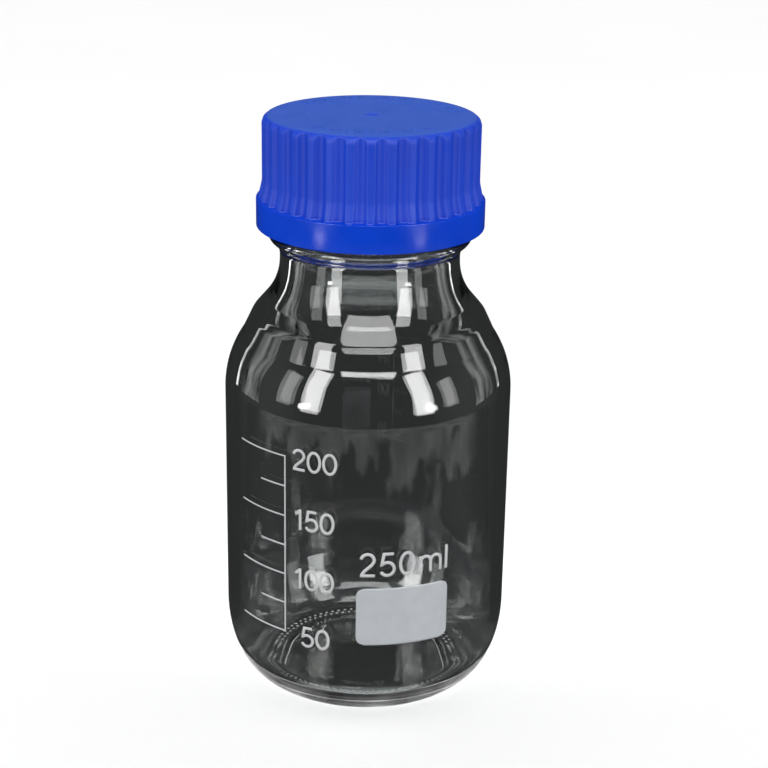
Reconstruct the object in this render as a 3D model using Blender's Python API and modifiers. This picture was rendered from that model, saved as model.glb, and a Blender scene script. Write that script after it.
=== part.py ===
"""Reagent bottle, 250 ml: borosilicate glass with a GL45 screw cap, a pouring ring and a cap liner.

The bottle stands on z = 0 with its axis on +Z. The graduation and the writing patch face -Y.
Sizes are written in millimetres and scaled to metres where geometry is made.
"""

import math

import bmesh
import bpy
from mathutils import Matrix, Vector

MM = 0.001

# ---- fits ----
GAP = 0.3  # between pieces that touch
THREAD_PLAY = 0.7  # radial play between the two threads

# ---- bottle: outside ----
BODY_R = 35.0
HEEL_IN = 10.6  # how far the heel curves inward, to the standing ring
HEEL_RISE = 19.4  # height at which the heel meets the straight wall
FOOT_WIDTH = 3.6  # flat standing ring
PUSH_UP = 1.6  # how far the middle of the base stands off the table
NECK_R = 21.6
RIM_Z = 137.0
NECK_RISE = 29.0  # from the neck's foot, where the flare ends, to the rim
DOME_SHARE = 1.84  # radius of the shoulder dome, in shoulder widths
DOME_DEG = 36.0  # lean of the wall where the dome ends
LEDGE_SHARE = 0.358  # height of the steeper band over the dome, in shoulder widths
LEDGE_DEG = 24.1
CONE_DEG = 41.0
FLARE_SHARE = 1.12  # radius of the concave flare under the neck, in shoulder widths
BEAD_OUT = 3.2  # how far the bead stands off the neck
BEAD_DROP = 23.5  # from the rim to the lower edge of the bead's widest part
BEAD_BAND = 0.8
ROOT_IN = 0.3  # how far the root of the neck thread lies inside the neck
RIM_ROUND = 1.0

# ---- bottle: inside ----
WALL = 2.55
SHOULDER_WALL = 2.3
NECK_WALL = 3.3
FLOOR = 3.4
FLOOR_HEEL_IN = 9.5
FLOOR_HEEL_RISE = 13.0

# ---- thread (GL45) ----
PITCH = 4.0
THREAD_TURNS = 2.25
THREAD_HEIGHT = 1.3
THREAD_BASE = 1.9  # axial width at the root
THREAD_CREST = 0.8
THREAD_DROP = 15.0  # from the rim to the start of the neck thread
THREAD_FADE = 0.12  # share of a turn over which an end runs out
THREAD_STEPS = 32  # sections in a turn
THREAD_START_DEG = 2.3  # turns the ends of both ridges off the walls' own edges

# ---- pouring ring ----
RING_SLEEVE = 9.0
RING_WALL = 1.4
RING_LIP = 1.3
RING_CLEAR = 0.45  # inside the cap's thread crest

# ---- liner ----
LINER_T = 1.2
LINER_CLEAR = 0.8

# ---- cap ----
CAP_ROOF = 2.0
CAP_TOP_ROUND = 1.7
CAP_HEIGHT = 26.5
FLANGE_OUT = 1.45  # how far the flange stands off the fluted wall
FLANGE_HEIGHT = 6.75
FLANGE_ROUND = 0.4
FOOT_FLARE = 0.95  # how far the ribs spread over the flange
FOOT_FLARE_RISE = 3.7
CAP_WALL = 2.45
SKIRT_WALL = 1.8
SKIRT_RELIEF = 5.6
FLUTES = 34
FLUTE_CUT_R = 1.6
FLUTE_DEPTH = 0.95
GATE_R = 1.4
GATE_DEPTH = 0.3

# ---- fired print ----
PRINT_GAP = 0.12
PRINT_T = 0.15
LINE_W = 0.4
SCALE_AZ = -33.0  # degrees from the front, of the scale's upright line
MAJOR_DEG = 24.4
MINOR_DEG = 12.4
TOP_MARK_DROP = 7.5  # from the top of the straight wall to the 200 ml mark
LOW_MARK_Z = 22.7  # the 50 ml mark
MARKS = 7
PATCH_AZ = 15.2
PATCH_W = 22.8
PATCH_Z = (22.0, 36.9)
PATCH_CORNER = 2.0

ROUND_STEPS = 48


def sin(degrees):
    return math.sin(math.radians(degrees))


def cos(degrees):
    return math.cos(math.radians(degrees))


def tan(degrees):
    return math.tan(math.radians(degrees))


# ---- places that follow from the sizes above ----
FOOT_R = BODY_R - HEEL_IN
SHOULDER = BODY_R - NECK_R
DOME_R = DOME_SHARE * SHOULDER
LEDGE_RISE = LEDGE_SHARE * SHOULDER
FLARE_R = FLARE_SHARE * SHOULDER
NECK_FOOT_Z = RIM_Z - NECK_RISE
CONE_FOOT_R = BODY_R - DOME_R * (1.0 - cos(DOME_DEG)) - LEDGE_RISE * tan(LEDGE_DEG)
CONE_TOP_R = NECK_R + FLARE_R * (1.0 - cos(CONE_DEG))
CONE_TOP_Z = NECK_FOOT_Z - FLARE_R * sin(CONE_DEG)
CONE_FOOT_Z = CONE_TOP_Z - (CONE_FOOT_R - CONE_TOP_R) / tan(CONE_DEG)
WALL_TOP_Z = CONE_FOOT_Z - LEDGE_RISE - DOME_R * sin(DOME_DEG)
BEAD_R = NECK_R + BEAD_OUT
BEAD_Z = RIM_Z - BEAD_DROP
ROOT_R = NECK_R - ROOT_IN
BORE_R = NECK_R - NECK_WALL
NECK_CREST_R = ROOT_R + THREAD_HEIGHT
CAP_CREST_R = NECK_CREST_R - (THREAD_HEIGHT - THREAD_PLAY)
CAP_BORE_R = CAP_CREST_R + THREAD_HEIGHT
NECK_THREAD_Z = RIM_Z - THREAD_DROP
CAP_THREAD_Z = NECK_THREAD_Z - PITCH / 2
RING_TOP_Z = RIM_Z + GAP + RING_LIP
LINER_Z = RING_TOP_Z + GAP
ROOF_Z = LINER_Z + LINER_T + GAP
CAP_TOP_Z = ROOF_Z + CAP_ROOF
CAP_FOOT_Z = CAP_TOP_Z - CAP_HEIGHT
FLANGE_TOP_Z = CAP_FOOT_Z + FLANGE_HEIGHT
CAP_OUTER_R = CAP_BORE_R + CAP_WALL
FLANGE_R = CAP_OUTER_R + FLANGE_OUT
PRINT_R = BODY_R + PRINT_GAP
TOP_MARK_Z = WALL_TOP_Z - TOP_MARK_DROP
MARK_PITCH = (TOP_MARK_Z - LOW_MARK_Z) / (MARKS - 1)


# ---- scene helpers ----
def clear_scene():
    for ob in list(bpy.data.objects):
        bpy.data.objects.remove(ob, do_unlink=True)


def new_collection(name):
    coll = bpy.data.collections.new(name)
    bpy.context.scene.collection.children.link(coll)
    return coll


def material(name, colour, roughness, metallic=0.0, transmission=0.0, ior=1.45):
    mat = bpy.data.materials.new(name)
    mat.use_nodes = True
    shader = mat.node_tree.nodes["Principled BSDF"]
    shader.inputs["Base Color"].default_value = (*colour, 1.0)
    shader.inputs["Roughness"].default_value = roughness
    shader.inputs["Metallic"].default_value = metallic
    shader.inputs["Transmission Weight"].default_value = transmission
    shader.inputs["IOR"].default_value = ior
    mat.diffuse_color = (*colour, 1.0)
    return mat


def add_object(name, mesh, coll, mat=None, parent=None):
    ob = bpy.data.objects.new(name, mesh)
    coll.objects.link(ob)
    if mat is not None:
        mesh.materials.append(mat)
    if parent is not None:
        ob.parent = parent
    return ob


def as_cutter(ob):
    ob.hide_render = True
    ob.display_type = "WIRE"
    return ob


def boolean(ob, other, operation):
    mod = ob.modifiers.new(other.name, "BOOLEAN")
    mod.operation = operation
    mod.solver = "EXACT"
    mod.object = other


# ---- turned shapes ----
def arc(centre, semi, start, end, count):
    """Points on an axis-aligned ellipse in the (radius, height) plane, from start to end degrees."""
    points = []
    for i in range(count + 1):
        a = math.radians(start + (end - start) * i / count)
        points.append((centre[0] + semi[0] * math.cos(a), centre[1] + semi[1] * math.sin(a)))
    return points


def turned(name, points, coll, mat, closed=False, steps=ROUND_STEPS, parent=None, base_z=0.0):
    """A profile of (radius, height), down its outer side, turned about the object's Z axis."""
    mesh = bpy.data.meshes.new(name)
    verts = [(r * MM, 0.0, (z - base_z) * MM) for r, z in points]
    edges = [(i, i + 1) for i in range(len(verts) - 1)]
    if closed:
        edges.append((len(verts) - 1, 0))
    mesh.from_pydata(verts, edges, [])
    ob = add_object(name, mesh, coll, mat, parent)
    ob.location.z = base_z * MM
    screw = ob.modifiers.new("Turn", "SCREW")
    screw.axis = "Z"
    screw.steps = screw.render_steps = steps
    screw.use_merge_vertices = True
    screw.merge_threshold = 0.00001
    screw.use_smooth_shade = True
    return ob


def thread_ridge(name, root_r, crest_r, start_z, coll, parent=None, base_z=0.0):
    """A right-hand ridge lofted along a helix. Its root is sunk into the wall that it joins, and
    both ends run out into that wall."""
    outward = 1 if crest_r > root_r else -1
    sunk_r = root_r - outward * 0.5
    count = round(THREAD_TURNS * THREAD_STEPS)
    fade = max(1, round(THREAD_FADE * THREAD_STEPS))
    bm = bmesh.new()
    rings = []
    for i in range(count + 1):
        share = min(1.0, (i + 0.6) / fade, (count - i + 0.6) / fade)
        crest = root_r + (crest_r - root_r) * share
        a = math.radians(THREAD_START_DEG + 360.0 * i / THREAD_STEPS)
        z = start_z + PITCH * i / THREAD_STEPS - base_z
        section = (
            (sunk_r, z - THREAD_BASE / 2),
            (crest, z - THREAD_CREST / 2),
            (crest, z + THREAD_CREST / 2),
            (sunk_r, z + THREAD_BASE / 2),
        )
        rings.append([
            bm.verts.new((r * math.cos(a) * MM, r * math.sin(a) * MM, h * MM)) for r, h in section
        ])
    for low, high in zip(rings, rings[1:]):
        for k in range(4):
            bm.faces.new((low[k], low[(k + 1) % 4], high[(k + 1) % 4], high[k]))
    bm.faces.new(rings[0])
    bm.faces.new(rings[-1])
    bmesh.ops.recalc_face_normals(bm, faces=bm.faces)
    mesh = bpy.data.meshes.new(name)
    bm.to_mesh(mesh)
    bm.free()
    ob = as_cutter(add_object(name, mesh, coll, None, parent))
    ob.location.z = base_z * MM
    return ob


# ---- bottle ----
def bottle_profile():
    dome_c = (BODY_R - DOME_R, WALL_TOP_Z)
    flare_c = (NECK_R + FLARE_R, NECK_FOOT_Z)
    dome = arc(dome_c, (DOME_R, DOME_R), 0.0, DOME_DEG, 6)
    ledge = [(CONE_FOOT_R, CONE_FOOT_Z)]
    flare = arc(flare_c, (FLARE_R, FLARE_R), 180.0, 180.0 + CONE_DEG, 5)

    inner_dome = arc(dome_c, (DOME_R - WALL, DOME_R - SHOULDER_WALL), 0.0, DOME_DEG + 5.0, 6)
    inner_r = FLARE_R + NECK_WALL
    inner_flare = arc(flare_c, (inner_r, inner_r), 180.0 + CONE_DEG, 180.0, 5)
    inner_heel = arc(
        (BODY_R - WALL - FLOOR_HEEL_IN, FLOOR + FLOOR_HEEL_RISE),
        (FLOOR_HEEL_IN, FLOOR_HEEL_RISE), -90.0, 0.0, 5,
    )
    inside = [(0.0, FLOOR)] + inner_heel + inner_dome + inner_flare

    rim_c = (BORE_R + RIM_ROUND, RIM_Z - RIM_ROUND)
    rim = arc(rim_c, (RIM_ROUND, RIM_ROUND), 180.0, 90.0, 2)
    rim += arc((ROOT_R - RIM_ROUND, RIM_Z - RIM_ROUND), (RIM_ROUND, RIM_ROUND), 90.0, 0.0, 2)

    bead_top = BEAD_Z + BEAD_BAND
    bead = [
        (ROOT_R, bead_top + 1.1),
        (BEAD_R - 0.9, bead_top + 0.45),
        (BEAD_R, bead_top - 0.1),
        (BEAD_R, BEAD_Z),
        (BEAD_R - 0.6, BEAD_Z - 0.6),
        (NECK_R + 0.8, BEAD_Z - 2.2),
        (NECK_R, BEAD_Z - 3.4),
    ]

    heel = arc((FOOT_R, HEEL_RISE), (HEEL_IN, HEEL_RISE), 0.0, -90.0, 7)
    base = [
        (FOOT_R - FOOT_WIDTH, 0.0),
        (FOOT_R - FOOT_WIDTH - 1.6, PUSH_UP * 0.55),
        ((FOOT_R - FOOT_WIDTH) * 0.45, PUSH_UP * 0.9),
        (0.0, PUSH_UP),
    ]
    return inside + rim + bead + flare + ledge + dome[::-1] + heel + base


def build_bottle(parts, cutters, glass):
    ridge = thread_ridge("neck_thread_ridge", ROOT_R, NECK_CREST_R, NECK_THREAD_Z, cutters)
    bottle = turned("glass_bottle", bottle_profile(), parts, glass)
    boolean(bottle, ridge, "UNION")
    return bottle


# ---- fired print on the glass ----
def wall_patch(name, coll, mat, az, z):
    """A thin curved sheet on the body wall, between two azimuths (degrees from -Y) and heights."""
    mesh = bpy.data.meshes.new(name)
    a = math.radians(az[0] - 90.0)
    foot = [(PRINT_R * math.cos(a) * MM, PRINT_R * math.sin(a) * MM, h * MM) for h in z]
    mesh.from_pydata(foot[::-1], [(0, 1)], [])
    ob = add_object(name, mesh, coll, mat)
    screw = ob.modifiers.new("Sweep", "SCREW")
    screw.axis = "Z"
    screw.angle = math.radians(az[1] - az[0])
    screw.steps = screw.render_steps = max(1, round((az[1] - az[0]) / 3.0))
    screw.merge_threshold = 0.00001
    solid = ob.modifiers.new("Thickness", "SOLIDIFY")
    solid.thickness = PRINT_T * MM
    solid.offset = 1.0
    return ob


def build_scale(parts, cutters, enamel):
    line_deg = math.degrees(LINE_W / PRINT_R)
    low_z = TOP_MARK_Z - MARK_PITCH * (MARKS - 1)
    half = LINE_W / 2
    spine_az = (SCALE_AZ - line_deg / 2, SCALE_AZ + line_deg / 2)
    scale = wall_patch("graduation_scale", parts, enamel, spine_az, (low_z - half, TOP_MARK_Z + half))
    for i in range(MARKS):
        z = TOP_MARK_Z - MARK_PITCH * i
        reach = MAJOR_DEG if i % 2 == 0 else MINOR_DEG
        mark = wall_patch(f"mark_{i}", cutters, None, (SCALE_AZ - reach, SCALE_AZ), (z - half, z + half))
        boolean(scale, as_cutter(mark), "UNION")
    return scale


def rounded_prism(name, coll, width, height, corner, depth, az, z, radius):
    """An upright rounded rectangle, extruded along the radius at azimuth az, as a cutting tool."""
    bm = bmesh.new()
    outline = []
    for sx, sz, start in ((1, 1, 0), (-1, 1, 90), (-1, -1, 180), (1, -1, 270)):
        centre = (sx * (width / 2 - corner), sz * (height / 2 - corner))
        outline += arc(centre, (corner, corner), start, start + 90, 4)
    verts = [bm.verts.new((x * MM, -depth / 2 * MM, h * MM)) for x, h in outline]
    face = bm.faces.new(verts)
    pushed = bmesh.ops.extrude_face_region(bm, geom=[face])
    moved = [v for v in pushed["geom"] if isinstance(v, bmesh.types.BMVert)]
    bmesh.ops.translate(bm, verts=moved, vec=(0.0, depth * MM, 0.0))
    bmesh.ops.recalc_face_normals(bm, faces=bm.faces)
    mesh = bpy.data.meshes.new(name)
    bm.to_mesh(mesh)
    bm.free()
    ob = as_cutter(add_object(name, mesh, coll))
    a = math.radians(az)
    ob.location = Vector((math.sin(a) * radius, -math.cos(a) * radius, z)) * MM
    ob.rotation_euler.z = a
    return ob


def build_patch(parts, cutters, enamel):
    half = math.degrees(PATCH_W / PRINT_R) / 2
    patch = wall_patch(
        "write_on_patch", parts, enamel,
        (PATCH_AZ - half - 2.0, PATCH_AZ + half + 2.0), (PATCH_Z[0] - 1.0, PATCH_Z[1] + 1.0),
    )
    chord = 2 * PRINT_R * math.sin(math.radians(half))
    frame = rounded_prism(
        "patch_outline", cutters, chord, PATCH_Z[1] - PATCH_Z[0], PATCH_CORNER, 10.0,
        PATCH_AZ, (PATCH_Z[0] + PATCH_Z[1]) / 2, PRINT_R,
    )
    boolean(patch, frame, "INTERSECT")
    return patch


# ---- closure ----
def build_ring(parts, plastic):
    sleeve_r = BORE_R - GAP
    lip_r = CAP_CREST_R - RING_CLEAR
    under = RIM_Z + GAP
    corner = 0.6 * RIM_ROUND  # clears the rounded inner edge of the rim
    profile = [
        (sleeve_r - RING_WALL, RING_TOP_Z - 0.7),
        (sleeve_r - RING_WALL + 0.7, RING_TOP_Z),
        (lip_r - 0.3, RING_TOP_Z),
        (lip_r, RING_TOP_Z - 0.3),
        (lip_r, under),
        (sleeve_r + corner, under),
        (sleeve_r, under - corner),
        (sleeve_r, RIM_Z - RING_SLEEVE + 0.5),
        (sleeve_r - 0.4, RIM_Z - RING_SLEEVE),
        (sleeve_r - RING_WALL, RIM_Z - RING_SLEEVE),
    ]
    return turned("pouring_ring", profile, parts, plastic, closed=True, steps=48)


def build_liner(parts, foam, carrier):
    r = CAP_BORE_R - LINER_CLEAR
    top = LINER_Z + LINER_T
    profile = [(0.0, top), (r - 0.2, top), (r, top - 0.2), (r, LINER_Z + 0.2),
               (r - 0.2, LINER_Z), (0.0, LINER_Z)]
    return turned("seal_liner", profile, parts, foam, steps=48, parent=carrier, base_z=CAP_FOOT_Z)


def cap_profile():
    fr = FLANGE_ROUND
    outside = [
        (0.0, CAP_TOP_Z - GATE_DEPTH),
        (GATE_R - 0.3, CAP_TOP_Z - GATE_DEPTH),
        (GATE_R, CAP_TOP_Z),
    ]
    round_c = (CAP_OUTER_R - CAP_TOP_ROUND, CAP_TOP_Z - CAP_TOP_ROUND)
    outside += arc(round_c, (CAP_TOP_ROUND, CAP_TOP_ROUND), 90.0, 0.0, 4)
    flare_c = (CAP_OUTER_R + FOOT_FLARE, FLANGE_TOP_Z + FOOT_FLARE_RISE)
    outside += arc(flare_c, (FOOT_FLARE, FOOT_FLARE_RISE), 180.0, 270.0, 4)
    outside += arc((FLANGE_R - fr, FLANGE_TOP_Z - fr), (fr, fr), 90.0, 0.0, 2)
    outside += arc((FLANGE_R - fr, CAP_FOOT_Z + fr), (fr, fr), 0.0, -90.0, 2)
    skirt_r = FLANGE_R - SKIRT_WALL
    inside = [
        (skirt_r, CAP_FOOT_Z),
        (skirt_r, CAP_FOOT_Z + SKIRT_RELIEF - 1.0),
        (CAP_BORE_R, CAP_FOOT_Z + SKIRT_RELIEF),
        (CAP_BORE_R, ROOF_Z - 0.6),
        (CAP_BORE_R - 0.6, ROOF_Z),
        (0.0, ROOF_Z),
    ]
    return outside + inside


def flute_cutters(coll, carrier):
    """One upright round cutter for each flute, all in one mesh, clear of the flange."""
    bm = bmesh.new()
    foot = FLANGE_TOP_Z + GAP
    height = CAP_TOP_Z + 2.0 - foot
    centre_r = CAP_OUTER_R - FLUTE_DEPTH + FLUTE_CUT_R
    for i in range(FLUTES):
        turn = Matrix.Rotation(2 * math.pi * i / FLUTES, 4, "Z")
        spot = Vector((centre_r, 0.0, foot + height / 2 - CAP_FOOT_Z)) * MM
        bmesh.ops.create_cone(
            bm, cap_ends=True, segments=10, depth=height * MM, radius1=FLUTE_CUT_R * MM,
            radius2=FLUTE_CUT_R * MM, matrix=turn @ Matrix.Translation(spot),
        )
    mesh = bpy.data.meshes.new("flutes")
    bm.to_mesh(mesh)
    bm.free()
    ob = as_cutter(add_object("flute_cutters", mesh, coll, None, carrier))
    ob.location.z = CAP_FOOT_Z * MM
    return ob


def build_cap(parts, cutters, plastic, carrier):
    cap = turned("screw_cap", cap_profile(), parts, plastic, steps=2 * FLUTES, parent=carrier,
                 base_z=CAP_FOOT_Z)
    ridge = thread_ridge("cap_thread_ridge", CAP_BORE_R, CAP_CREST_R, CAP_THREAD_Z, cutters,
                         carrier, CAP_FOOT_Z)
    boolean(cap, ridge, "UNION")
    boolean(cap, flute_cutters(cutters, carrier), "DIFFERENCE")
    return cap


def main():
    clear_scene()
    parts = new_collection("reagent_bottle")
    cutters = new_collection("reagent_bottle_cutters")

    glass = material("borosilicate_glass", (0.93, 0.96, 0.96), 0.02, transmission=1.0, ior=1.473)
    blue = material("polypropylene_blue", (0.012, 0.062, 0.56), 0.38)
    clear_pp = material("polypropylene_ring", (0.02, 0.09, 0.60), 0.42)
    liner = material("liner_silicone", (0.82, 0.82, 0.80), 0.6)
    enamel = material("fired_enamel_white", (0.78, 0.80, 0.81), 0.35)

    carrier = bpy.data.objects.new("cap_axis", None)
    parts.objects.link(carrier)

    build_bottle(parts, cutters, glass)
    build_scale(parts, cutters, enamel)
    build_patch(parts, cutters, enamel)
    build_ring(parts, clear_pp)
    build_liner(parts, liner, carrier)
    build_cap(parts, cutters, blue, carrier)


main()
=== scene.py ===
"""Studio scene of a 250 ml screw-cap reagent bottle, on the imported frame.

Lengths are in millimetres, except the camera's, the lights' and those inside materials, which are in
metres. A profile is a list of (radius, height) points. Azimuth runs from the front (-Y) towards +X.
"""

import math

import bmesh
import bpy
from mathutils import Matrix, Vector, noise


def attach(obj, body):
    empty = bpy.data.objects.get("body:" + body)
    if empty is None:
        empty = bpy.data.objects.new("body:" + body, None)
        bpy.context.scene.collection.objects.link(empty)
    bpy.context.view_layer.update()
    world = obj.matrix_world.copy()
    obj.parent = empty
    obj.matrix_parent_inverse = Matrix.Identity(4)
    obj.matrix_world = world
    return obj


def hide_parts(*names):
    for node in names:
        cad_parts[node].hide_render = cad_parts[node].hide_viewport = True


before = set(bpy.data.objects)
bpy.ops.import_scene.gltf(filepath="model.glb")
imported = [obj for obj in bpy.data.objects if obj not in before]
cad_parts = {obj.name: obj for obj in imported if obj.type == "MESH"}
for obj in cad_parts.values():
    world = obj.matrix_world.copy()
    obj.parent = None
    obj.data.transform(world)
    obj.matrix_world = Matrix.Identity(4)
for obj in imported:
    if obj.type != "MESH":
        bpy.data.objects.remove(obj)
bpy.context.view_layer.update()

MM = 0.001
AROUND = 192  # columns of the smooth turned pieces

# Bottle, outside
BODY_R = 35.0
WALL_TOP_Z = 75.5
DOME_R, DOME_DEG = 24.65, 34.4
LEDGE_DEG, LEDGE_RISE = 25.3, 5.36
CONE_DEG = 41.0
FLARE_R, NECK_FOOT_Z = 15.0, 108.0
NECK_R, ROOT_R, RIM_Z, RIM_ROUND = 21.6, 21.3, 137.0, 1.0
ROOT_FOOT_Z = 117.2
BEAD = [(NECK_R, 109.6), (22.1, 111.2), (23.9, 112.7), (24.5, 113.9), (23.6, 114.9), (ROOT_R, 115.4)]
HEEL_IN, HEEL_RISE = 10.6, 19.4
FOOT_R = BODY_R - HEEL_IN
PUSH_UP = [(0.0, 1.6), (4.0, 1.57), (9.36, 1.44), (14.0, 1.2)]
PUSH_UP_EDGE = [(16.0, 1.1), (19.2, 0.88), (20.8, 0.0), (FOOT_R, 0.0)]

# Dents in the standing ring: each row's radius, and its shift in dents
DENT_ROWS = ((22.6, 0.0), (23.85, 0.5))
DENTS, DENT_ACROSS, DENT_ALONG, DENT_DEPTH = 84, 0.58, 0.48, 0.5

# Bottle, inside
WALL, DOME_WALL = 2.55, 2.3
BORE_R, BORE_FOOT_Z = 18.3, 113.0
INNER_FLARE = (8.98, 19.63)
INNER_CONE = (26.0, 93.0)
FLOOR_Z = 3.4
FLOOR_HEEL = (8.0, 9.5)
WAVES_TOP_Z = 112.0  # the blown inner wall is wavy below this height

# Thread
PITCH, TURNS = 4.0, 2.25
THREAD_H, THREAD_BASE, THREAD_CREST = 1.3, 1.9, 0.8
NECK_THREAD_Z, CAP_THREAD_Z = 122.0, 120.0
THREAD_DEG, THREAD_FADE = 2.3, 0.12

# Cap
CAP_R, CAP_FOOT_Z, CAP_TOP_Z = 25.75, 115.9, 142.4
FLANGE_R, FLANGE_TOP_Z, FLANGE_ROUND = 27.2, 122.65, 0.45
COLLAR_TOP_Z = 128.2
COLLAR = [(26.62, FLANGE_TOP_Z + 0.12), (26.6, 123.4), (26.2, 124.9), (CAP_R, 127.0),
          (CAP_R, COLLAR_TOP_Z)]
TOP_EDGE = (2.5, 2.0)
DISC_R, DISC_DEPTH = 15.7, 0.12
GATE_MARK = [(2.35, -0.1), (2.1, 0.06), (1.85, 0.04), (1.5, -0.35), (1.1, -0.6), (0.7, -0.6), (0.3, -0.3),
             (0.0, -0.2)]  # heights above the top face
FLUTES, FLUTE_R, FLUTE_DEPTH = 34, 1.6, 0.95
FLUTED_COLUMNS, PLAIN_COLUMNS = FLUTES * 16, FLUTES * 4
CAP_BORE_R, ROOF_Z, ROOF_ROUND, SKIRT_R, SKIRT_TOP_Z = 23.3, 140.4, 0.8, 25.4, 121.5

# Raised marks on the cap's top face
MARK_R, MARK_HEIGHT, MARK_STEP_DEG = 20.4, 0.3, 5.0
MARK_ARCS = ((100.0, 142.0), (150.0, 178.0), (186.0, 236.0), (318.0, 402.0))  # in degrees of azimuth

# Pouring ring and liner
RING_BORE_R, RING_OUT_R, RING_LIP_R = 16.6, 18.0, 21.55
RING_FOOT_Z, RING_LIP_Z, RING_TOP_Z = 128.0, 137.3, 138.6
LINER_R, LINER_FOOT_Z, LINER_TOP_Z = 22.5, 138.9, 140.1

# Print
PRINT_LOW, PRINT_HIGH = BODY_R + 0.015, BODY_R + 0.06
LINE_W, FIGURE_W = 0.36, 0.67
SCALE_DEG, SCALE_TOP_Z = -33.0, 68.0
MARKS, MARK_GAP = 7, 7.55
LONG_DEG, SHORT_DEG, TOP_MARK_MORE_DEG = 24.4, 12.4, 0.8
SMALL, LARGE = (5.2, 0.08, 1.18, FIGURE_W), (6.0, 0.14, 1.16, FIGURE_W * 1.1)  # as write() takes them
FIGURES = (("200", 65.2, -29.6, SMALL), ("150", 50.2, -28.9, SMALL), ("100", 35.0, -28.9, SMALL),
           ("50", 19.8, -25.8, SMALL), ("250ml", 40.0, -2.4, LARGE))  # text, baseline, azimuth
PATCH_DEG, PATCH_W, PATCH_FOOT_Z, PATCH_TOP_Z, PATCH_CORNER = 15.2, 22.8, 22.0, 36.9, 2.0

# Studio
FLOOR_GAP = 0.1  # keeps the floor clear of the standing ring
WALL_CARD_R = 370.0
CAMERA_AT = (0.0, -0.4134, 0.2250)
CAMERA_YAW, CAMERA_PITCH, CAMERA_ROLL = 0.5416, 19.885, 1.0043
CAMERA_LENS, CAMERA_SENSOR = 83.73, 36.0


# ---------------------------------------------------------------- mesh helpers

def arc(centre, semi, start, end, count):
    """Points along an ellipse in the radius and height plane, angles in degrees."""
    out = []
    for i in range(count + 1):
        a = math.radians(start + (end - start) * i / count)
        out.append((centre[0] + semi[0] * math.cos(a), centre[1] + semi[1] * math.sin(a)))
    return out


def line(a, b, step):
    """Points from a to b, a left out, no further apart than step."""
    n = max(1, math.ceil(math.dist(a, b) / step))
    return [(a[0] + (b[0] - a[0]) * i / n, a[1] + (b[1] - a[1]) * i / n) for i in range(1, n + 1)]


def turned(r, azimuth, z):
    """The point at a radius, an azimuth in radians and a height."""
    return (r * math.sin(azimuth), -r * math.cos(azimuth), z)


def metres(point):
    return tuple(c * MM for c in point)


def smooth(t):
    t = min(1.0, max(0.0, t))
    return t * t * (3.0 - 2.0 * t)


def soft_min(a, b, k):
    h = min(1.0, max(0.0, 0.5 + 0.5 * (b - a) / k))
    return b + (a - b) * h - k * h * (1.0 - h)


def rounded(points, radius, count=5):
    """The open polyline with each inner corner turned into a small arc."""
    out = [points[0]]
    for before, here, after in zip(points, points[1:], points[2:]):
        p, a, b = Vector(here), Vector(before), Vector(after)
        cut = min(radius, 0.45 * (a - p).length, 0.45 * (b - p).length)
        a, b = p + (a - p).normalized() * cut, p + (b - p).normalized() * cut
        for i in range(count + 1):
            t = i / count
            out.append(tuple(a.lerp(p, t).lerp(p.lerp(b, t), t)))
    out.append(points[-1])
    return out


def lathe(name, profile, columns, shape=None, closed=False):
    """A turned mesh. columns is one number or a list, one for each profile point; shape(r, z, azimuth,
    row) gives the final radius and height. closed joins the profile's last point to its first."""
    bm = bmesh.new()
    if isinstance(columns, int):
        columns = [columns] * len(profile)
    rings = []
    for row, ((r, z), n) in enumerate(zip(profile, columns)):
        if r < 1e-6:
            rings.append([bm.verts.new((0.0, 0.0, z * MM))])
            continue
        ring = []
        for i in range(n):
            a = 2.0 * math.pi * i / n
            rr, zz = shape(r, z, a, row) if shape else (r, z)
            ring.append(bm.verts.new(metres(turned(rr, a, zz))))
        rings.append(ring)
    if closed:
        rings.append(rings[0])
    for low, high in zip(rings, rings[1:]):
        n, m = len(low), len(high)
        if n == m == 1:
            continue
        count = min(n, m) if min(n, m) > 1 else max(n, m)
        for i in range(count):
            a = [low[(i * (n // count) + k) % n] for k in range(n // count + 1)] if n > 1 else [low[0]]
            b = [high[(i * (m // count) + k) % m] for k in range(m // count + 1)] if m > 1 else [high[0]]
            bm.faces.new(a + b[::-1])
    bmesh.ops.recalc_face_normals(bm, faces=bm.faces)
    return finish_mesh(name, bm)


def add_grid(bm, grid):
    """Faces between the neighbouring rows and columns of a grid of vertices."""
    for a, b in zip(grid, grid[1:]):
        for i in range(len(a) - 1):
            bm.faces.new((a[i], a[i + 1], b[i + 1], b[i]))


def finish_mesh(name, bm):
    mesh = bpy.data.meshes.new(name)
    bm.to_mesh(mesh)
    bm.free()
    mesh.shade_smooth()
    piece = bpy.data.objects.new(name, mesh)
    bpy.context.scene.collection.objects.link(piece)
    return piece


def place(piece, node, body, material):
    piece.data.materials.append(material)
    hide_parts(node)
    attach(piece, body)


# ---------------------------------------------------------------- node helpers

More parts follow.
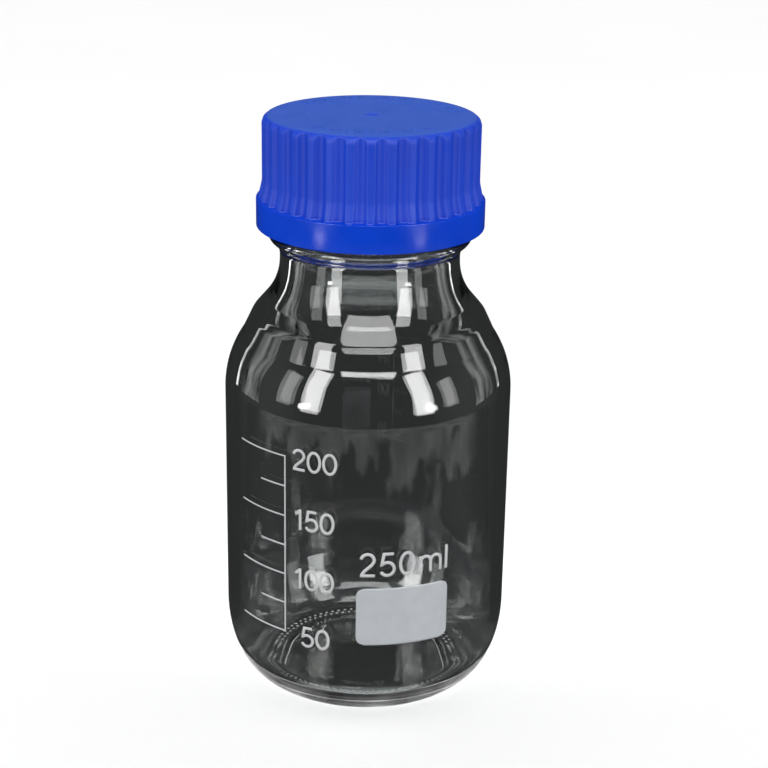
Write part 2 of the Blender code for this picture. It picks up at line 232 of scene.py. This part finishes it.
class Nodes:
    """Short hand for building a node tree."""

    def __init__(self, tree):
        self.tree = tree
        tree.nodes.clear()

    def add(self, kind, inputs=None, **settings):
        """A new node with its settings, and its inputs' values or links by name or number."""
        node = self.tree.nodes.new("ShaderNode" + kind)
        for key, value in settings.items():
            setattr(node, key, value)
        for key, value in (inputs or {}).items():
            if isinstance(value, bpy.types.NodeSocket):
                self.tree.links.new(value, node.inputs[key])
            else:
                node.inputs[key].default_value = value
        return node

    def maths(self, operation, a, b=0.0):
        return self.add("Math", {0: a, 1: b}, operation=operation).outputs[0]

    def mix(self, factor, a, b):
        return self.add("Mix", {"Factor": factor, "A": a, "B": b}).outputs["Result"]

    def mix_colour(self, factor, a, b):
        """A mix of two colours, each a link or red, green and blue."""
        a, b = (c if isinstance(c, bpy.types.NodeSocket) else (*c, 1.0) for c in (a, b))
        return self.add("Mix", {"Factor": factor, "A": a, "B": b}, data_type="RGBA").outputs["Result"]

    def remap(self, value, low, high, a, b, kind="LINEAR"):
        """value taken from low..high to a..b, and held there."""
        inputs = {"Value": value, "From Min": low, "From Max": high, "To Min": a, "To Max": b}
        return self.add("MapRange", inputs, interpolation_type=kind).outputs[0]

    def noise(self, coords, scale, detail, low, high, stretch=None):
        """Noise at a scale in cycles per metre, remapped to low..high."""
        if stretch:
            coords = self.add("Mapping", {"Vector": coords, "Scale": stretch}).outputs[0]
        pattern = self.add("TexNoise", {"Vector": coords, "Scale": scale, "Detail": detail}).outputs[0]
        return self.remap(pattern, 0.3, 0.7, low, high)

    def bump(self, height, distance, strength, normal=None):
        inputs = {"Height": height, "Distance": distance, "Strength": strength}
        if normal is not None:
            inputs["Normal"] = normal
        return self.add("Bump", inputs).outputs[0]

    def window(self, limits, top):
        """top where every value lies past its second limit, in millimetres, fading to 0 at the first."""
        level = top
        for value, off, on in limits:
            low, high = min(off, on) * MM, max(off, on) * MM
            fade = self.remap(value, low, high, float(on < off), float(on > off))
            level = self.maths("MULTIPLY", fade, level)
        return level

    def output(self, shader, kind="Material"):
        self.add("Output" + kind, {"Surface": shader})


def new_material(name):
    """A material, its empty node tree and its object coordinates."""
    mat = bpy.data.materials.new(name)
    mat.use_nodes = True
    n = Nodes(mat.node_tree)
    return mat, n, n.add("TexCoord").outputs["Object"]


# ---------------------------------------------------------------- materials

def glass_material():
    """Clear glass with a faintly wavy skin, duller inside the heel and on the dents of the ring."""
    mat, n, coords = new_material("clear_glass")
    waves = n.noise(coords, 45.0, 2.0, 0.0, 1.0, stretch=(1.0, 1.0, 0.35))
    skin = n.noise(coords, 900.0, 3.0, 0.0, 1.0)
    normal = n.bump(skin, 0.000001, 0.3, n.bump(waves, 0.00003, 0.5))
    x, y, height = n.add("SeparateXYZ", {0: coords}).outputs
    flat = n.add("CombineXYZ", {"X": x, "Y": y}).outputs[0]
    across = n.add("VectorMath", {0: flat}, operation="LENGTH").outputs["Value"]
    heel = n.window(((across, 24.0, 25.5), (across, 32.9, 32.5), (height, 22.0, 12.0)), 0.07)
    dented = ((across, 21.2, 21.4), (across, 24.5, 24.3), (height, 0.03, 0.14), (height, 0.8, 0.7))
    dents = n.window(dented, 0.42)
    smears = n.noise(coords, 60.0, 4.0, 0.0, 0.02)
    glass = n.add("BsdfPrincipled", {
        "Base Color": (0.985, 0.995, 0.99, 1.0),
        "Transmission Weight": 1.0,
        "IOR": 1.473,
        "Roughness": n.maths("ADD", n.maths("ADD", heel, dents), smears),
        "Normal": normal,
    })
    clear = n.add("BsdfTransparent")
    shadow = n.add("LightPath").outputs["Is Shadow Ray"]
    n.output(n.add("MixShader", {0: shadow, 1: glass.outputs[0], 2: clear.outputs[0]}).outputs[0])
    return mat


def plastic_material(name, colour, dark, pale, rough, painted_top_sheen=None):
    """Moulded plastic: mottled colour, pale edges painted on as a highlight, fine grain and roughness that
    wanders. With a top colour given, the cap's ribs are matt and its top face is matt and painted that
    paler colour, a painted sheen."""
    mat, n, coords = new_material(name)
    base = n.mix_colour(n.noise(coords, 70.0, 4.0, 0.0, 1.0), colour, dark)
    # painted highlight: sharp convex edges, found by pointiness, are mixed towards the pale colour
    edge = n.remap(n.add("NewGeometry").outputs["Pointiness"], 0.53, 0.62, 0.0, 1.0)
    base = n.mix_colour(n.maths("MULTIPLY", edge, n.noise(coords, 500.0, 3.0, 0.1, 0.6)), base, pale)
    roughness = n.noise(coords, 160.0, 4.0, *rough)
    if painted_top_sheen:
        height = n.add("SeparateXYZ", {0: coords}).outputs["Z"]
        ribs = n.remap(height, 122.6 * MM, 123.4 * MM, 0.0, 1.0)
        roughness = n.mix(ribs, roughness, n.noise(coords, 220.0, 4.0, 0.46, 0.58))
        face = n.remap(height, 142.0 * MM, 142.26 * MM, 0.0, 1.0)
        roughness = n.mix(face, roughness, n.noise(coords, 160.0, 4.0, 0.5, 0.6))
        # painted sheen: the top face is given a paler, greyer blue where the overhead light falls
        base = n.mix_colour(face, base, painted_top_sheen)
    flow = n.bump(n.noise(coords, 120.0, 2.0, 0.0, 1.0), 0.00002, 0.4)
    grain = n.bump(n.noise(coords, 2500.0, 2.0, 0.0, 1.0), 0.00001, 0.6, flow)
    shader = n.add("BsdfPrincipled", {
        "Base Color": base,
        "Roughness": roughness,
        "IOR": 1.38,
        "Specular IOR Level": 0.36,
        "Normal": grain,
    })
    n.output(shader.outputs[0])
    return mat


def enamel_material(name, colour, dark):
    """Fired ceramic ink: chalky, lightly mottled, with a screen-print grain."""
    mat, n, coords = new_material(name)
    shader = n.add("BsdfPrincipled", {
        "Base Color": n.mix_colour(n.noise(coords, 350.0, 4.0, 0.0, 1.0), colour, dark),
        "Roughness": n.noise(coords, 900.0, 3.0, 0.38, 0.55),
        "Normal": n.bump(n.noise(coords, 3000.0, 2.0, 0.0, 1.0), 0.00001, 0.6),
    })
    n.output(shader.outputs[0])
    return mat


GLASS = glass_material()
# the cap's pale edge colour is a painted highlight, and its top face colour is a painted sheen
CAP_BLUE = plastic_material(
    "cap_polypropylene", (0.0, 0.057, 0.69), (0.0, 0.048, 0.61), (0.005, 0.13, 0.86), (0.17, 0.24),
    painted_top_sheen=(0.026, 0.100, 0.56),
)
RING_BLUE = plastic_material(
    "ring_polypropylene", (0.012, 0.05, 0.46), (0.008, 0.035, 0.36), (0.05, 0.12, 0.6), (0.3, 0.42)
)
LINER_GREY = plastic_material(
    "liner_silicone", (0.62, 0.62, 0.60), (0.52, 0.52, 0.50), (0.75, 0.75, 0.73), (0.45, 0.6)
)
ENAMEL = enamel_material("scale_enamel", (0.68, 0.69, 0.70), (0.58, 0.59, 0.60))
PATCH = enamel_material("patch_enamel", (0.56, 0.59, 0.62), (0.52, 0.55, 0.58))


# ---------------------------------------------------------------- glass bottle

def thread_ridge(azimuth, z, start_z):
    """Height of the helical ridge at one azimuth and height."""
    angle = (math.degrees(azimuth) - 90.0 - THREAD_DEG) % 360.0
    best = 0.0
    for turn in range(3):
        along = (turn * 360.0 + angle) / 360.0
        if along > TURNS:
            continue
        off = abs(z - (start_z + PITCH * along))
        half, crest = THREAD_BASE / 2.0, THREAD_CREST / 2.0
        if off > half:
            continue
        rise = 1.0 if off < crest else smooth((half - off) / (half - crest))
        fade = smooth(min(along, TURNS - along) / THREAD_FADE)
        best = max(best, THREAD_H * rise * fade)
    return best


def outer_profile():
    """The outside, from the middle of the base up to the rim."""
    points = PUSH_UP + rounded(PUSH_UP_EDGE, 0.9)[1:-2]
    points += [(21.4 + 0.22 * i, 0.0) for i in range(14)]
    points += arc((FOOT_R, HEEL_RISE), (HEEL_IN, HEEL_RISE), -90.0, 0.0, 60)
    points += line((BODY_R, HEEL_RISE), (BODY_R, WALL_TOP_Z), 1.5)
    dome = arc((BODY_R - DOME_R, WALL_TOP_Z), (DOME_R, DOME_R), 0.0, DOME_DEG, 44)
    flare = arc((NECK_R + FLARE_R, NECK_FOOT_Z), (FLARE_R, FLARE_R), 180.0 + CONE_DEG, 180.0, 36)
    corner = dome[-1]
    ledge_end = (corner[0] - LEDGE_RISE * math.tan(math.radians(LEDGE_DEG)), corner[1] + LEDGE_RISE)
    joint = rounded([dome[-2], corner, ledge_end, flare[0]], 0.7, 6)
    points += dome[1:-1] + joint[1:-1] + line(joint[-2], flare[0], 0.5) + flare[1:]
    points += rounded([(NECK_R, NECK_FOOT_Z)] + BEAD + [(ROOT_R, ROOT_FOOT_Z)], 1.4, 8)[1:]
    points += line((ROOT_R, ROOT_FOOT_Z), (ROOT_R, RIM_Z - RIM_ROUND), 0.24)
    points += arc((ROOT_R - RIM_ROUND, RIM_Z - RIM_ROUND), (RIM_ROUND, RIM_ROUND), 0.0, 90.0, 8)[1:]
    return points


def inner_profile():
    """The inside, from the rim down to the middle of the floor."""
    wall_r = BODY_R - WALL
    points = line((ROOT_R - RIM_ROUND, RIM_Z), (BORE_R + RIM_ROUND, RIM_Z), 0.8)
    points += arc((BORE_R + RIM_ROUND, RIM_Z - RIM_ROUND), (RIM_ROUND, RIM_ROUND), 90.0, 180.0, 8)[1:]
    points += line((BORE_R, RIM_Z - RIM_ROUND), (BORE_R, BORE_FOOT_Z), 1.5)
    flare = arc((BORE_R + INNER_FLARE[0], BORE_FOOT_Z), INNER_FLARE, 180.0, 240.0, 40)
    dome = arc((BODY_R - DOME_R, WALL_TOP_Z), (DOME_R - WALL, DOME_R - DOME_WALL), DOME_DEG, 0.0, 40)
    points += flare[1:-1] + rounded([flare[-1], INNER_CONE, dome[0], dome[1]], 1.2, 8)[:-1] + dome[2:]
    points += line((wall_r, WALL_TOP_Z), (wall_r, FLOOR_Z + FLOOR_HEEL[1]), 0.9)
    heel = (wall_r - FLOOR_HEEL[0], FLOOR_Z + FLOOR_HEEL[1])
    points += arc(heel, FLOOR_HEEL, 0.0, -90.0, 44)[1:]
    points += line((heel[0], FLOOR_Z), (1.5, FLOOR_Z), 1.6) + [(0.0, FLOOR_Z)]
    return points


def dent_depth(r, azimuth):
    """Two rows of small crescent dents in the standing ring."""
    depth = 0.0
    for row_r, shift in DENT_ROWS:
        step = (azimuth / (2.0 * math.pi) * DENTS + shift) % 1.0 - 0.5
        across = step * 2.0 * math.pi * row_r / DENTS
        along = r - row_r - 0.35 * (across / 0.5) ** 2 + 0.15
        depth = max(depth, smooth(1.0 - math.hypot(across / DENT_ACROSS, along / DENT_ALONG)))
    return DENT_DEPTH * depth


def build_glass():
    outer = outer_profile()
    profile = outer + inner_profile()
    dented = [21.3 < r < FOOT_R and z == 0.0 and row < len(outer) for row, (r, z) in enumerate(profile)]

    def shape(r, z, azimuth, row):
        if row < len(outer):
            if dented[row]:
                return r, dent_depth(r, azimuth)
            if ROOT_FOOT_Z < z < RIM_Z - 2.0:
                return r + thread_ridge(azimuth, z, NECK_THREAD_Z), z
            return r, z
        if z > WAVES_TOP_Z:
            return r, z
        x, y, _ = turned(r, azimuth, z)
        swell = noise.noise(Vector((x, y, z * 0.35)) * 0.05) * 0.09
        ripple = noise.noise(Vector((x * 0.07 + 9.0, y * 0.07, z * 0.33))) * 0.045
        ripple *= smooth((z - 74.0) / 10.0)
        lean = smooth((z - FLOOR_Z) / 9.0)
        push = (swell + ripple) * smooth((WAVES_TOP_Z - z) / 18.0)
        return r + push * lean, z + push * (1.0 - lean) * 0.6

    return lathe("bottle_glass", profile, [AROUND * 4 if d else AROUND for d in dented], shape)


place(build_glass(), "glass_bottle", "bottle", GLASS)


# ---------------------------------------------------------------- screw cap

def flute_radius(azimuth):
    """Radius of the fluted wall: the cap's round wall less one cutter circle for each flute."""
    pitch = 2.0 * math.pi / FLUTES
    step = (azimuth - math.pi / 2.0 + pitch / 2.0) % pitch - pitch / 2.0
    centre = CAP_R + FLUTE_R - FLUTE_DEPTH
    side = centre * math.sin(step)
    if abs(side) >= FLUTE_R:
        return CAP_R + 2.0
    return centre * math.cos(step) - math.sqrt(FLUTE_R ** 2 - side ** 2)


def embossed(r, azimuth):
    """Height of the blank raised marks on the top face: plain bars, and pairs of strokes either way."""
    turn = math.degrees(azimuth) % 360.0
    if not any(low < t < high for low, high in MARK_ARCS for t in (turn, turn + 360.0)):
        return 0.0
    step, off = abs(turn / MARK_STEP_DEG % 1.0 - 0.5), abs(r - MARK_R)
    style = int(turn / MARK_STEP_DEG) % 3
    if (style == 1 and step <= 0.14) or (style == 2 and off <= 0.45):
        return 0.0
    across, along = (0.34 - step) / 0.10, (1.25 - off) / 0.35
    return MARK_HEIGHT * smooth(across) * smooth(along)


def build_cap():
    corners = [(24.9, CAP_FOOT_Z), (FLANGE_R, CAP_FOOT_Z), (FLANGE_R, FLANGE_TOP_Z), (26.7, FLANGE_TOP_Z)]
    outer = rounded(corners, FLANGE_ROUND, 5)[1:-1] + rounded(COLLAR, 1.1, 6)
    edge = (CAP_R - TOP_EDGE[0], CAP_TOP_Z - TOP_EDGE[1])
    outer += line((CAP_R, COLLAR_TOP_Z), (CAP_R, edge[1]), 0.9) + arc(edge, TOP_EDGE, 0.0, 90.0, 20)[1:]
    disc_z = CAP_TOP_Z - DISC_DEPTH
    top = line((edge[0], CAP_TOP_Z), (16.6, CAP_TOP_Z), 0.3)
    top += [(16.2, CAP_TOP_Z), (16.0, CAP_TOP_Z - 0.05), (DISC_R, disc_z)]
    top += line((DISC_R, disc_z), (2.6, disc_z), 0.8)
    top += [(r, CAP_TOP_Z + rise) for r, rise in GATE_MARK]
    inside = [(0.0, ROOF_Z)] + line((1.5, ROOF_Z), (CAP_BORE_R - 1.0, ROOF_Z), 3.0)
    roof_edge = (CAP_BORE_R - ROOF_ROUND, ROOF_Z - ROOF_ROUND)
    inside += arc(roof_edge, (ROOF_ROUND, ROOF_ROUND), 90.0, 0.0, 5)[1:]
    inside += line((CAP_BORE_R, roof_edge[1]), (CAP_BORE_R, SKIRT_TOP_Z + 0.8), 0.3)
    skirt = [(CAP_BORE_R, SKIRT_TOP_Z + 0.8), (CAP_BORE_R, SKIRT_TOP_Z), (SKIRT_R, SKIRT_TOP_Z - 0.8),
             (SKIRT_R, CAP_FOOT_Z), (25.9, CAP_FOOT_Z)]
    inside += rounded(skirt, 0.35, 3)[1:-1]
    columns = [FLUTED_COLUMNS if r > 16.5 else PLAIN_COLUMNS for r, z in outer + top]
    columns += [PLAIN_COLUMNS] * len(inside)

    def shape(r, z, azimuth, row):
        if row < len(outer):
            if z > FLANGE_TOP_Z + 0.05:
                return soft_min(r, flute_radius(azimuth) + 0.75 * max(0.0, r - CAP_R), 0.3), z
            return r, z
        if row < len(outer) + len(top):
            return r, z + embossed(r, azimuth)
        if SKIRT_TOP_Z + 0.5 < z < ROOF_Z - 1.5:
            return r - thread_ridge(azimuth, z, CAP_THREAD_Z), z
        return r, z

    return lathe("cap_body", outer + top + inside, columns, shape, closed=True)


place(build_cap(), "screw_cap", "cap", CAP_BLUE)


# ---------------------------------------------------------------- pouring ring and liner

def build_ring():
    foot = ((RING_BORE_R + RING_OUT_R) / 2.0, RING_FOOT_Z)
    corners = [foot, (RING_OUT_R, RING_FOOT_Z), (RING_OUT_R, RING_LIP_Z), (RING_LIP_R, RING_LIP_Z),
               (RING_LIP_R, RING_TOP_Z), (RING_BORE_R, RING_TOP_Z), (RING_BORE_R, RING_FOOT_Z), foot]
    return lathe("pouring_lip", rounded(corners, 0.5, 5)[:-1], AROUND, closed=True)


def build_liner():
    low, high = LINER_FOOT_Z, LINER_TOP_Z
    profile = [(0.0, low)] + line((4.0, low), (21.0, low), 3.0)
    profile += rounded([(21.0, low), (LINER_R, low), (LINER_R, high), (21.0, high)], 0.35, 5)[1:]
    profile += line((21.0, high), (4.0, high), 3.0) + [(0.0, high)]
    return lathe("seal_disc", profile, 128)


place(build_ring(), "pouring_ring", "bottle", RING_BLUE)
place(build_liner(), "seal_liner", "liner", LINER_GREY)


# ---------------------------------------------------------------- printed scale

def on_body(degrees):
    """The arc length on the body's outside for an azimuth in degrees."""
    return math.radians(degrees) * BODY_R


def wrap(x, z, r):
    """The point in metres at an arc length from the front, a height and a radius."""
    return metres(turned(r, x / BODY_R, z))


def ribbon(bm, path, width, lift=0.0):
    """A flat printed stroke along a path of (arc length, height) points."""
    pts = [Vector(path[0])]
    for p in path[1:]:
        p = Vector(p)
        n = max(1, math.ceil((p - pts[-1]).length / 0.5))
        start = pts[-1]
        pts += [start.lerp(p, i / n) for i in range(1, n + 1)]
    rows = []
    for i, p in enumerate(pts):
        a = (p - pts[i - 1]).normalized() if i else (pts[1] - p).normalized()
        b = (pts[i + 1] - p).normalized() if i + 1 < len(pts) else a
        side = Vector((-(a + b).y, (a + b).x)).normalized()
        side *= width / 2.0 / max(0.35, side.dot(Vector((-a.y, a.x))))
        rows.append([bm.verts.new(wrap(*q, r)) for q, r in (
            (p + side, PRINT_LOW), (p - side, PRINT_LOW),
            (p - side, PRINT_HIGH + lift), (p + side, PRINT_HIGH + lift))])
    for a, b in zip(rows, rows[1:]):
        for k in range(4):
            bm.faces.new((a[k], a[(k + 1) % 4], b[(k + 1) % 4], b[k]))
    bm.faces.new(rows[0])
    bm.faces.new(rows[-1][::-1])


# Each figure's width and its strokes, in shares of its height
GLYPHS = {
    "0": (0.56, [arc((0.28, 0.5), (0.24, 0.46), 90, 450, 32)]),
    "1": (0.40, [[(0.06, 0.76), (0.17, 0.83), (0.26, 0.95), (0.27, 0.96)], [(0.27, 1.0), (0.27, 0.0)]]),
    "2": (0.56, [arc((0.28, 0.71), (0.22, 0.25), 172, -20, 16)
                 + [(0.42, 0.50), (0.16, 0.22), (0.07, 0.05)], [(0.03, 0.04), (0.53, 0.04)]]),
    "5": (0.56, [[(0.48, 0.96), (0.15, 0.96), (0.08, 0.50)]
                 + arc((0.27, 0.32), (0.235, 0.28), 140, -155, 20)]),
    "m": (0.86, [[(0.07, 0.72), (0.07, 0.0)],
                 arc((0.26, 0.47), (0.19, 0.22), 180, 0, 10) + [(0.45, 0.0)],
                 arc((0.64, 0.47), (0.19, 0.22), 180, 0, 10) + [(0.83, 0.0)]]),
    "l": (0.16, [[(0.08, 1.0), (0.08, 0.0)]]),
}


def write(bm, text, x, z, height, spacing, stretch, weight):
    """Strokes of the figures from the left end x and the baseline z. spacing is a share of the height."""
    for char in text:
        wide, strokes = GLYPHS[char]
        for j, path in enumerate(strokes):
            ribbon(bm, [(x + px * height * stretch, z + py * height) for px, py in path], weight,
                   0.003 * (j + 1))
        x += (wide * stretch + spacing) * height


def build_scale():
    bm = bmesh.new()
    left = on_body(SCALE_DEG)
    for i in range(MARKS):
        reach = SHORT_DEG if i % 2 else LONG_DEG
        if i == 0:
            reach += TOP_MARK_MORE_DEG
        z = SCALE_TOP_Z - MARK_GAP * i
        ribbon(bm, [(left - on_body(reach), z), (left, z)], LINE_W)
    foot_z = SCALE_TOP_Z - MARK_GAP * (MARKS - 1)
    ribbon(bm, [(left, SCALE_TOP_Z + LINE_W / 2), (left, foot_z - LINE_W / 2)], LINE_W, 0.004)
    for text, z, degrees, style in FIGURES:
        write(bm, text, on_body(degrees), z, *style)
    bmesh.ops.recalc_face_normals(bm, faces=bm.faces)
    return finish_mesh("scale_print", bm)


def build_patch():
    """Rounded write-on area, a thin closed sheet on the glass."""
    centre, columns, rows = on_body(PATCH_DEG), 56, 30
    grid = []
    for j in range(rows + 1):
        z = PATCH_FOOT_Z + (PATCH_TOP_Z - PATCH_FOOT_Z) * (j / rows)
        short = max(0.0, PATCH_CORNER - min(z - PATCH_FOOT_Z, PATCH_TOP_Z - z))
        half = PATCH_W / 2.0 - (PATCH_CORNER - math.sqrt(max(0.0, PATCH_CORNER ** 2 - short ** 2)))
        grid.append([(centre - half + 2 * half * i / columns, z) for i in range(columns + 1)])
    bm = bmesh.new()
    sheets = [[[bm.verts.new(wrap(x, z, r)) for x, z in row] for row in grid]
              for r in (PRINT_HIGH, PRINT_LOW)]
    rims = []
    for sheet in sheets:
        add_grid(bm, sheet)
        right, left = [row[-1] for row in sheet[1:]], [row[0] for row in sheet[-2:0:-1]]
        rims.append(sheet[0] + right + sheet[-1][-2::-1] + left)
    high, low = rims
    for corners in zip(high, high[1:] + high[:1], low[1:] + low[:1], low):
        bm.faces.new(corners)
    bmesh.ops.recalc_face_normals(bm, faces=bm.faces)
    return finish_mesh("patch_print", bm)


place(build_scale(), "graduation_scale", "bottle", ENAMEL)
place(build_patch(), "write_on_patch", "bottle", PATCH)


# ---------------------------------------------------------------- studio

def build_floor():
    """A wide pale floor, just below the standing ring, that the glass doesn't see."""
    bm = bmesh.new()
    bmesh.ops.create_grid(bm, x_segments=24, y_segments=24, size=6.0)
    bmesh.ops.translate(bm, verts=bm.verts, vec=(0.0, 0.0, -FLOOR_GAP * MM))
    floor = finish_mesh("studio_floor", bm)
    mat, n, coords = new_material("studio_paper")
    mottle = n.noise(coords, 3.0, 2.0, 0.0, 1.0)
    shader = n.add("BsdfPrincipled", {
        "Base Color": n.mix_colour(mottle, (0.92, 0.92, 0.92), (0.90, 0.90, 0.905)),
        "Roughness": 0.9,
        "Specular IOR Level": 0.1,
    })
    n.output(shader.outputs[0])
    floor.data.materials.append(mat)
    floor.visible_glossy = floor.visible_transmission = floor.visible_diffuse = False


def glow_card(name, rows, strength):
    """A dim card that shows only as a soft reflection or refraction in the glass. strength is a function
    of the node tree and the object coordinates."""
    bm = bmesh.new()
    add_grid(bm, [[bm.verts.new(metres(p)) for p in row] for row in rows])
    card = finish_mesh(name, bm)
    mat, n, coords = new_material(name + "_glow")
    n.output(n.add("Emission", {"Strength": strength(n, coords)}).outputs[0])
    card.data.materials.append(mat)
    card.visible_camera = card.visible_diffuse = card.visible_shadow = False
    return card


def foot_glow(n, coords):
    return n.noise(coords, 70.0, 4.0, 0.1, 1.3)


def table_glow(n, coords):
    """Bright past a ragged edge and in front of the bottle, fading behind its axis."""
    distance = n.add("VectorMath", {0: coords}, operation="LENGTH").outputs["Value"]
    ragged = n.maths("ADD", distance, n.noise(coords, 15.0, 3.0, -0.045, 0.045))
    back = n.add("SeparateXYZ", {0: coords}).outputs["Y"]
    level = n.noise(coords, 24.0, 4.0, 0.45, 1.25)
    level = n.maths("MULTIPLY", level, n.remap(ragged, 0.185, 0.212, 0.03, 1.0, "SMOOTHSTEP"))
    return n.maths("MULTIPLY", level, n.remap(back, -0.06, 0.02, 1.0, 0.0, "SMOOTHSTEP"))


def wall_glow(n, coords):
    """Upright streaks at the side, and a bright rim at the far edge."""
    back = n.add("SeparateXYZ", {0: coords}).outputs["Y"]
    streaks = n.noise(coords, 22.0, 6.0, -0.4, 3.4, stretch=(1.0, 1.0, 0.25))
    streaks = n.window(((back, 190.0, 130.0),), streaks)
    rim = n.window(((back, 220.0, 233.0),), n.noise(coords, 14.0, 3.0, 0.3, 4.2))
    return n.maths("ADD", streaks, rim)


def build_cards():
    """Rings of glow under the bottle's foot and on the table, and two curved cards behind its sides."""
    turns = [math.radians(15.0 * i) for i in range(25)]
    rows = [[turned(r, a, 0.3) for r in (25.5, 30.0, 35.0)] for a in turns]
    glow_card("foot_card", rows, foot_glow).visible_transmission = False
    turns = [math.radians(-105.0 + 210.0 * i / 24) for i in range(25)]
    rows = [[turned(r, a, 0.5) for r in (100.0, 180.0, 340.0)] for a in turns]
    glow_card("table_card", rows, table_glow).visible_transmission = False
    for side, word in ((-1, "left"), (1, "right")):
        turns = [math.radians(side * (96.0 + 35.0 * i / 14)) for i in range(15)]
        rows = [[turned(WALL_CARD_R, a, z) for z in (1.0, 250.0, 600.0)] for a in turns]
        glow_card(f"wall_card_{word}", rows, wall_glow).visible_glossy = False


def softbox(name, azimuth, elevation, distance, size, seen, key, aim=0.085):
    """A rectangular light facing the bottle from a direction in degrees. seen is its radiance in
    reflections and through the glass, key the radiance that lights matt surfaces, and aim the height that
    it faces."""
    a, e = math.radians(azimuth), math.radians(elevation)
    way = Vector(turned(math.cos(e), a, math.sin(e)))
    for kind, radiance in (("seen", seen), ("key", key)):
        if radiance == 0.0:
            continue
        light = bpy.data.lights.new(f"{name}_{kind}", "AREA")
        light.shape = "RECTANGLE"
        light.size, light.size_y = size
        light.energy = radiance * math.pi * size[0] * size[1]
        lamp = bpy.data.objects.new(light.name, light)
        lamp.location = Vector((0.0, 0.0, aim)) + way * distance
        lamp.rotation_euler = way.to_track_quat("Z", "Y").to_euler()
        lamp.visible_camera = False
        lamp.visible_diffuse = kind == "key"
        lamp.visible_glossy = lamp.visible_transmission = kind == "seen"
        bpy.context.scene.collection.objects.link(lamp)


def build_lights():
    softbox("strip_left", -45.5, 19.0, 1.2, (0.33, 0.98), 11.0, 1.5)
    softbox("strip_right", 45.0, 19.0, 1.2, (0.33, 0.98), 11.0, 1.5)
    softbox("side_left", -69.0, 14.0, 1.3, (0.30, 0.70), 3.0, 0.0)
    softbox("side_right", 69.0, 12.0, 1.3, (0.26, 0.60), 3.0, 0.0)
    softbox("flange_left", -46.5, -13.1, 0.15, (0.016, 0.012), 22.0, 0.0, aim=0.119)
    softbox("flange_right", 46.0, -13.1, 0.15, (0.016, 0.012), 18.0, 0.0, aim=0.119)
    softbox("overhead", 0.0, 55.5, 1.3, (0.95, 0.58), 8.5, 1.6)


def build_world():
    """Matt surfaces see a pale sky over a dim table, and the camera sees white. The glass sees a dark room
    that is paler at the sides, straight up and straight down."""
    world = bpy.data.worlds.new("studio_world")
    bpy.context.scene.world = world
    world.use_nodes = True
    n = Nodes(world.node_tree)
    x, _, z = n.add("SeparateXYZ", {0: n.add("TexCoord").outputs["Generated"]}).outputs

    def background(colour, strength):
        return n.add("Background", {"Color": (*colour, 1.0), "Strength": strength}).outputs[0]

    path = n.add("LightPath")
    sky = background((1.0, 1.0, 1.0), n.remap(z, -0.1, 0.05, 0.5, 1.08, "SMOOTHSTEP"))
    white = background((1.0, 1.0, 1.0), 1.0)
    sides = n.remap(n.maths("ABSOLUTE", x), 0.75, 1.0, 0.0, 0.08, "SMOOTHSTEP")
    ceiling = n.remap(z, 0.93, 0.97, 0.026, 0.3, "SMOOTHSTEP")
    ground = n.remap(z, -0.95, -0.86, 1.3, 0.0, "SMOOTHSTEP")
    seen = background((0.94, 1.0, 1.0), n.maths("ADD", n.maths("ADD", sides, ceiling), ground))
    for socket, shader in ((path.outputs["Is Diffuse Ray"], sky), (path.outputs["Is Camera Ray"], white)):
        seen = n.add("MixShader", {0: socket, 1: seen, 2: shader}).outputs[0]
    n.output(seen, "World")


def build_camera():
    yaw, pitch, roll = (math.radians(d) for d in (CAMERA_YAW, CAMERA_PITCH, CAMERA_ROLL))
    forward = Vector((math.sin(yaw) * math.cos(pitch), math.cos(yaw) * math.cos(pitch), -math.sin(pitch)))
    right = Vector((math.cos(yaw), -math.sin(yaw), 0.0))
    up = right.cross(forward)
    right, up = right * math.cos(roll) + up * math.sin(roll), up * math.cos(roll) - right * math.sin(roll)
    camera = bpy.data.objects.new("camera", bpy.data.cameras.new("camera"))
    turn = Matrix((right, up, -forward)).transposed().to_4x4()
    camera.matrix_world = Matrix.Translation(CAMERA_AT) @ turn
    camera.data.lens = CAMERA_LENS
    camera.data.sensor_width = CAMERA_SENSOR
    camera.data.clip_start = 0.01
    bpy.context.scene.collection.objects.link(camera)
    bpy.context.scene.camera = camera


build_floor()
build_cards()
build_lights()
build_world()
build_camera()
bpy.context.scene.view_settings.view_transform = "Standard"
